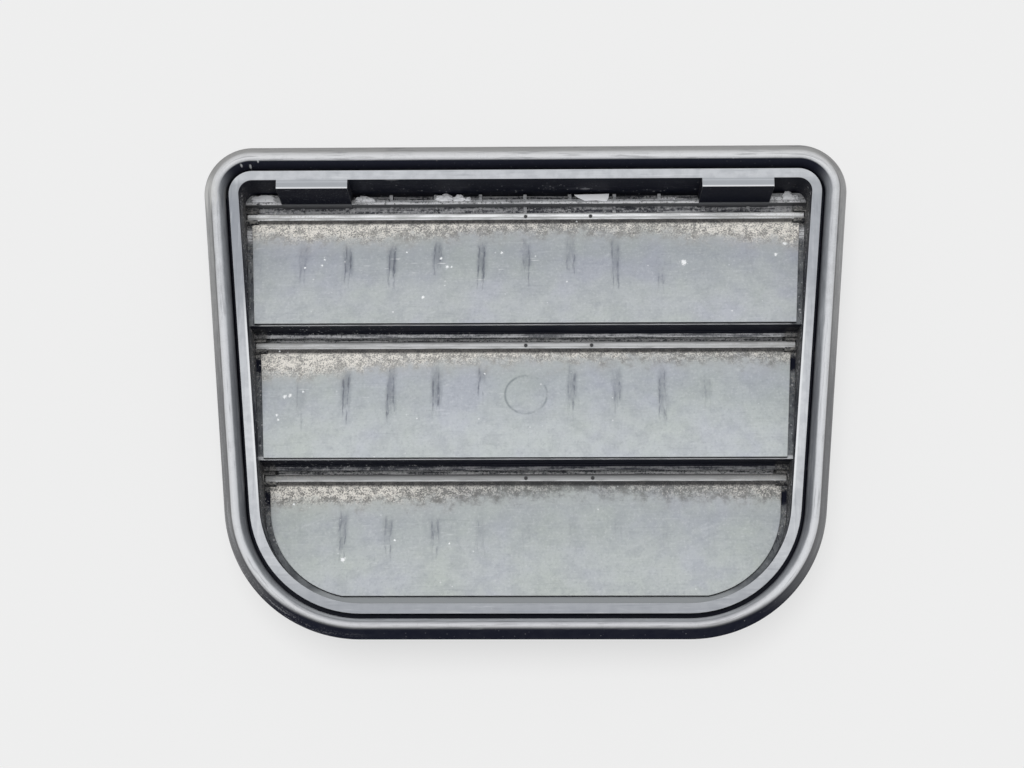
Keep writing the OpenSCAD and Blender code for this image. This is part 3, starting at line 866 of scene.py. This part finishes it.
def shelfLayers(f, p):
    # crumbs, dots and scratches on what faces down, more to the left, and dust on what faces up
    toLeft = f.rise(p.x, -10, -60)
    crumbs = f.rise(p.coarse, 0.62, 0.70) * p.under * f.rise(p.y, 12, -2)
    topWall = p.under * f.rise(p.z, 61, 61.8) * f.rise(p.y, -7, 1)
    shelves = p.under * f.rise(p.x, -20, -70) * f.rise(p.z, 50, 45)
    topStrip = p.under * f.within(p.z, 59, 59.8, 0.2) * f.rise(p.y, 4.5, 5.5)
    dusting = f.cloud(f.place((0.35, 1, 1), (5, 0, 0)), 0.45, 5, 0.8)
    underDots = f.larger(topWall * (0.08 + 0.6 * f.rise(dusting, 0.48, 0.60)), shelves)
    scratches = f.specks(f.place((0.16, 0.35, 1)), 0.42, 0.24, 0.35, (p.grain - 0.5) * 0.12)
    return [
        (crumbs * (0.15 + 0.65 * toLeft), (0.40, 0.405, 0.42)),
        (p.sparks * p.under * (0.20 + 0.6 * toLeft), (0.16, 0.163, 0.175)),
        (p.dots * underDots * 0.8, (0.72, 0.73, 0.76)),
        (topWall * f.rise(dusting, 0.52, 0.78) * 0.35, (0.20, 0.205, 0.24)),
        (scratches * p.under * f.rise(p.z, 50, 58) * 0.7, (0.50, 0.51, 0.54)),
        (f.rise(p.nz, 0.55, 0.9) * 0.8, (0.19, 0.195, 0.20)),
        (topStrip * 0.9, (0.30, 0.305, 0.32)),
    ]


def hollowLayer(f, p):
    # the hollow round each rod, streaked along it, and painted pale to stand in for light in its
    # shade
    around = f.length(p.y - vent["rodDepth"], p.nearRods)
    tone = f.coats(
        (0.11, 0.113, 0.124),
        (f.rise(p.ragged, 0.38, 0.62), (0.72, 0.722, 0.728)),
        (f.rise(p.flecked, 0.44, 0.32) * 0.8, (0.03, 0.031, 0.036)))
    return f.rise(around, 3.1, 2.7) * f.rise(p.sideInset, 6.6, 7.4) * 0.9, tone


def ledgeLayers(f, p, ledges):
    # ledges that the flaps close on, paler at the foot, and the streaked slot above the first rod
    byFlaps = p.besideWall * f.within(p.z, -52, 58, 2)
    slot = f.coats(
        (0.055, 0.057, 0.067),
        (f.rise(p.ragged, 0.36, 0.64), (0.400, 0.404, 0.418)),
        (f.rise(p.flecked, 0.58, 0.68) * 0.8, (0.70, 0.70, 0.70)))
    tone = f.coats(
        (0.095, 0.102, 0.112),
        (f.rise(p.cloudy, 0.35, 0.65), (0.175, 0.186, 0.196)),
        (f.rise(p.z, -57, -60.5), (0.300, 0.315, 0.327)),
        (f.rise(p.z, 56, 57), slot),
        (f.rise(p.upright, 0.48, 0.34) * byFlaps * 0.7, (0.030, 0.032, 0.040)))
    lip = p.front * f.within(p.y, -3.8, -3.1, 0.1) * f.rise(p.z, -40, -30)
    lip = lip * f.rise(abs(p.x), 79, 78)
    gritty = f.rise(p.coarse, 0.50, 0.60) * (0.10 + 0.6 * p.besideRods)
    return [
        (ledges, tone),
        (ledges * gritty, frameWear["grit"]),
        (ledges * p.dots * byFlaps * 0.8, (0.52, 0.52, 0.54)),
        (lip * (0.5 + 0.5 * f.rise(p.along, 0.35, 0.55)), (0.50, 0.51, 0.525)),
    ]


def railTone(f, p):
    # fronts of the rails above the rods, with gaps and crumbs toward the left
    streaks = f.rise(p.along + (p.coarse - 0.5) * 0.75, 0.38, 0.64)
    toLeft = f.rise(p.x, 10, -60)
    first = f.coats(
        (0.420, 0.426, 0.440),
        (f.rise(p.z, 60.2, 59.8), (0.740, 0.745, 0.760)),
        (f.rise(streaks, 0.7, 0) * 0.6, (0.16, 0.162, 0.17)),
        (f.rise(p.coarse + (p.grain - 0.5) * 0.6, 0.45, 0.34) * 0.7, (0.05, 0.051, 0.056)))
    second = f.mix(streaks, (0.17, 0.175, 0.190), (0.66, 0.665, 0.680))
    third = f.mix(streaks, (0.050, 0.053, 0.064), (0.28, 0.283, 0.295))
    return f.coats(
        second,
        (f.rise(p.z, 5, -5), third),
        (f.rise(p.nearRods, 3.3, 3.6), frameWear["bare"]),
        (f.rise(p.z, 40, 50), first),
        (f.rise(p.coarse, 0.44, 0.36) * toLeft * 0.7, (0.020, 0.021, 0.026)),
        (f.rise(p.coarse, 0.57, 0.64) * toLeft * 0.8, frameWear["crumb"]))


def framePlastic():
    f = newFinish("framePlastic")
    p = frameFields(f)
    rails = p.front * f.rise(p.y, 4.6, 5.2) * f.rise(p.y, 6.6, 6.2)
    ledges = p.front * f.rise(p.y, -5, -4) * p.within * (1 - rails)
    atRodEnds = f.rise(p.nearRods, 4.6, 3) * f.rise(p.sideInset, 7.2, 6.4)
    atRodEnds = atRodEnds * f.rise(p.y, -1, 1.5) * p.within
    endRingHighlight = f.within(f.length(p.sideInset - 5.2, p.nearRods), 1.5, 2, 0.25) * atRodEnds
    outer = f.mix(f.rise(p.along, 0.40, 0.62), (0.030, 0.032, 0.039), (0.075, 0.078, 0.086))
    back = f.mix(f.rise(p.cloudy, 0.32, 0.72), (0.038, 0.040, 0.047), (0.058, 0.061, 0.069))
    colour = f.coats(
        wallTone(f, p),
        *shelfLayers(f, p),
        hollowLayer(f, p),
        *ledgeLayers(f, p, ledges),
        (rails, railTone(f, p)),
        # grit round the ends of the rods, with a paler ring at each end that is a painted highlight
        (atRodEnds * 0.7, (0.050, 0.051, 0.055)),
        (atRodEnds * f.rise(p.coarse, 0.46, 0.60) * 0.7, frameWear["grit"]),
        (endRingHighlight * f.rise(p.cloudy, 0.38, 0.55) * 0.6, frameWear["grit"]),
        # outer wall behind the seal, the back, the rim's face, and flecks over all but the back
        (f.rise(p.inset, 1.6, 0.6) * f.rise(p.y, -1, 0.5) * 0.9, outer),
        (f.rise(p.ny, 0.3, 0.8), back),
        (p.onRim, rimTone(f, p)),
        (p.flecks * f.rise(p.y, 9, 5) * 0.5, frameWear["crumb"]))

    # pale edges, partly wear and partly painted highlight, found by comparing the bevelled normal
    # with the true one
    soft = f.node("ShaderNodeBevel", {"samples": 6}, {"Radius": frameWear["edgeRadius"]})
    true = f.node("ShaderNodeNewGeometry", output="True Normal")
    turn = f.node("ShaderNodeVectorMath", {"operation": "DOT_PRODUCT"}, {0: soft, 1: true}, "Value")
    wornAndHighlit = f.rise(turn, 0.985, 0.90) * (0.10 + 0.28 * f.rise(p.y, -3, -7))
    return f.close(
        f.mix(wornAndHighlit, colour, frameWear["edge"]),
        0.42 + 0.30 * f.larger(p.onRim, ledges) + 0.12 * p.cloudy, specular=0.06,
        bump=p.grain * 0.5 + p.coarse * p.wallGrit + p.along * 0.3,
        strength=0.3, depth=0.00012, normal=soft)


# fluff and grit that has settled in the slot above the top rail

slotFluff = {
    "floor": 60.2,
    "depth": 5.9,
    "thickness": 0.6,
    "clumps": [  # x, width, height, depth offset, roughness of the shape, brightness
        (-79.4, 7.8, 2.3, 0, 0.30, 0.75),
        (-49.6, 5, 1.8, 0.2, 0.35, 0.55), (-47, 2.2, 1.4, 0, 0.30, 0.7),
        (-24.5, 5.5, 2.1, 0, 0.40, 0.85), (-20.2, 4.6, 1.9, 0.2, 0.40, 0.95),
        (-17.4, 2, 1.4, 0, 0.30, 0.6),
        (44, 9, 1.4, 0.4, 0.30, 0.2),
        (76.4, 7, 1.5, 0.2, 0.35, 0.4), (79.8, 3.2, 2.8, -0.1, 0.25, 1),
        (82, 2.4, 1.7, 0, 0.3, 0.5),
    ],
    "flake": [(14.9, 62), (25.6, 62.3), (25.4, 61), (24.8, 59.9), (21.6, 60.2), (18.2, 60.1),
              (15.7, 61.3)],
    "flakeDepth": 5.35,
    "flakeHalfThick": 0.14,
    "flakeEdge": 0.06,
    "flakeTone": 1.3,
}


def buildFluff(material):
    bm = bmesh.new()

    def onFlake(x, z, lift):
        bow = 0.12 * math.sin(x * 0.9) + 0.06 * (z - 61)
        return Vector((x, slotFluff["flakeDepth"] - lift - bow, z)) * millimetre

    roundedPlate(
        bm, slotFluff["flake"], slotFluff["flakeHalfThick"], slotFluff["flakeEdge"], onFlake)
    bmesh.ops.recalc_face_normals(bm, faces=bm.faces)
    tones = [slotFluff["flakeTone"]] * len(bm.verts)
    foot = 0.25  # how much of a unit ball stays below its middle
    for index, (x, width, height, back, uneven, tone) in enumerate(slotFluff["clumps"]):
        lump = bmesh.new()
        bmesh.ops.create_icosphere(lump, subdivisions=4, radius=1)
        for v in lump.verts:
            stray = noise.fractal(v.co * 1.6 + Vector((index * 7.3, 0, 0)), 0.6, 2, 4)
            v.co *= 1.0 + uneven * stray
            v.co.z = max(v.co.z, -foot)
            v.co = Vector((
                x + v.co.x * width / 2,
                slotFluff["depth"] + back + v.co.y * slotFluff["thickness"],
                slotFluff["floor"] + (v.co.z + foot) * height / (1 + foot))) * millimetre
        tones += [tone] * len(lump.verts)
        mesh = bpy.data.meshes.new("lump")
        lump.to_mesh(mesh)
        lump.free()
        bm.from_mesh(mesh)
        bpy.data.meshes.remove(mesh)
    mesh = bpy.data.meshes.new("slotFluff")
    bm.to_mesh(mesh)
    bm.free()
    mesh.attributes.new("tone", "FLOAT", "POINT").data.foreach_set("value", tones)
    mesh.shade_smooth()
    newPiece("slotFluff", mesh, [material], "housing")


def fluffDust():
    f = newFinish("fluffDust")
    tone = f.node("ShaderNodeAttribute", {"attribute_name": "tone"}, output="Fac")
    cloudy = f.cloud(f.place(), 1.4, 5, 0.7)
    fibre = f.cloud(f.place((0.4, 1, 1)), 4, 3, 0.7)
    colour = f.coats(
        (0.16, 0.16, 0.165),
        (f.rise(cloudy + tone * 0.45, 0.48, 0.76), (0.95, 0.955, 0.98)),
        (f.rise(fibre, 0.62, 0.74) * 0.3, (0.36, 0.35, 0.34)))
    return f.close(colour, 0.95, specular=0.1, bump=cloudy + fibre, strength=0.6, depth=0.0002)


print("building the seal")
buildSeal(sealRubber())
print("building the flaps")
for height, (name, wear) in zip(vent["rodHeights"], flapWear.items()):
    skins = [bladeSkin(name + "BladeSkin", height, wear), rodSkin(name + "RodSkin", height, wear)]
    buildFlap(name + "Flap", height, name + "_flap", skins)
print("finishing the frame")
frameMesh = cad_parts["frame"].data
frameMesh.materials.clear()
frameMesh.materials.append(framePlastic())
print("settling the fluff")
buildFluff(fluffDust())


# studio: the table that it lies on, a broad soft key from the front, a fill for the back, and a
# pale surrounding

studio = {
    "tableDepth": 0.0124,
    "tableSize": 1.7,
    "tableCuts": 12,
    "tableTone": (0.87, 0.868, 0.862),
    "pale": (0.855, 0.855, 0.855),
    "paleShare": 0.74,
    "skyTone": (0.97, 0.985, 1),
    "ambient": 0.38,
    "suns": {  # where the light comes from, its strength, and its spread in degrees
        "keyLight": ((-0.08, -0.985, 0.15), 1.98, 38),
        "fillLight": ((0, 0.93, 0.37), 1.9, 50),
    },
}


def tableTop():
    # matt and shadowed, mixed with a plain pale tone where it is seen, and clear from behind and
    # to shadow rays, so that the fill passes it
    f = newFinish("tableTop")
    seen, shadow = f.rays()
    matt = f.node("ShaderNodeBsdfDiffuse", None, {"Color": (*studio["tableTone"], 1)})
    pale = f.node("ShaderNodeEmission", None, {"Color": (*studio["pale"], 1), "Strength": 1.0})
    clear = f.node("ShaderNodeBsdfTransparent")
    behind = f.node("ShaderNodeNewGeometry", output="Backfacing")
    face = f.node("ShaderNodeMixShader", None, {0: seen * studio["paleShare"], 1: matt, 2: pale})
    both = f.node("ShaderNodeMixShader", None, {0: f.larger(behind, shadow), 1: face, 2: clear})
    f.node("ShaderNodeOutputMaterial", None, {"Surface": both})
    return f.owner


def addTable():
    half, cuts = studio["tableSize"] / 2, studio["tableCuts"]
    steps = [half * (2 * i / cuts - 1) for i in range(cuts + 1)]
    bm = bmesh.new()
    grid = [[bm.verts.new((x, studio["tableDepth"], z)) for x in steps] for z in steps]
    for j in range(cuts):
        for i in range(cuts):
            bm.faces.new((grid[j][i], grid[j][i + 1], grid[j + 1][i + 1], grid[j + 1][i]))
    mesh = bpy.data.meshes.new("tableTop")
    bm.to_mesh(mesh)
    bm.free()
    mesh.materials.append(tableTop())
    table = bpy.data.objects.new("tableTop", mesh)
    bpy.context.scene.collection.objects.link(table)


def addSuns():
    for name, (source, strength, spread) in studio["suns"].items():
        sun = bpy.data.objects.new(name, bpy.data.lights.new(name, "SUN"))
        sun.data.energy = strength
        sun.data.angle = math.radians(spread)
        sun.rotation_euler = Vector(source).to_track_quat("Z", "Y").to_euler()
        bpy.context.scene.collection.objects.link(sun)


def addSurrounding():
    world = bpy.data.worlds.new("surrounding")
    bpy.context.scene.world = world
    f = Finish(world)
    seen, _ = f.rays()
    light = f.node("ShaderNodeBackground", None,
                   {"Color": (*studio["skyTone"], 1), "Strength": studio["ambient"]})
    pale = f.node("ShaderNodeBackground", None, {"Color": (*studio["pale"], 1)})
    both = f.node("ShaderNodeMixShader", None, {0: seen, 1: light, 2: pale})
    f.node("ShaderNodeOutputWorld", None, {"Surface": both})


view = {
    "place": (0.00586, -0.53263, -0.10545),
    "right": (0.99984, 0.01811, 0.00040),
    "up": (0.00320, -0.19813, 0.98017),
    "back": (0.01783, -0.98001, -0.19816),
    "sensor": 36,
    "lens": 64.69,
}


def addCamera():
    camera = bpy.data.objects.new("camera", bpy.data.cameras.new("camera"))
    bpy.context.scene.collection.objects.link(camera)
    turned = Matrix([view["right"], view["up"], view["back"]]).transposed().to_4x4()
    turned.translation = Vector(view["place"])
    camera.matrix_world = turned
    camera.data.sensor_width = view["sensor"]
    camera.data.lens = view["lens"]
    bpy.context.scene.camera = camera


print("lighting and camera")
addTable()
addSuns()
addSurrounding()
addCamera()
bpy.context.scene.view_settings.view_transform = "Standard"
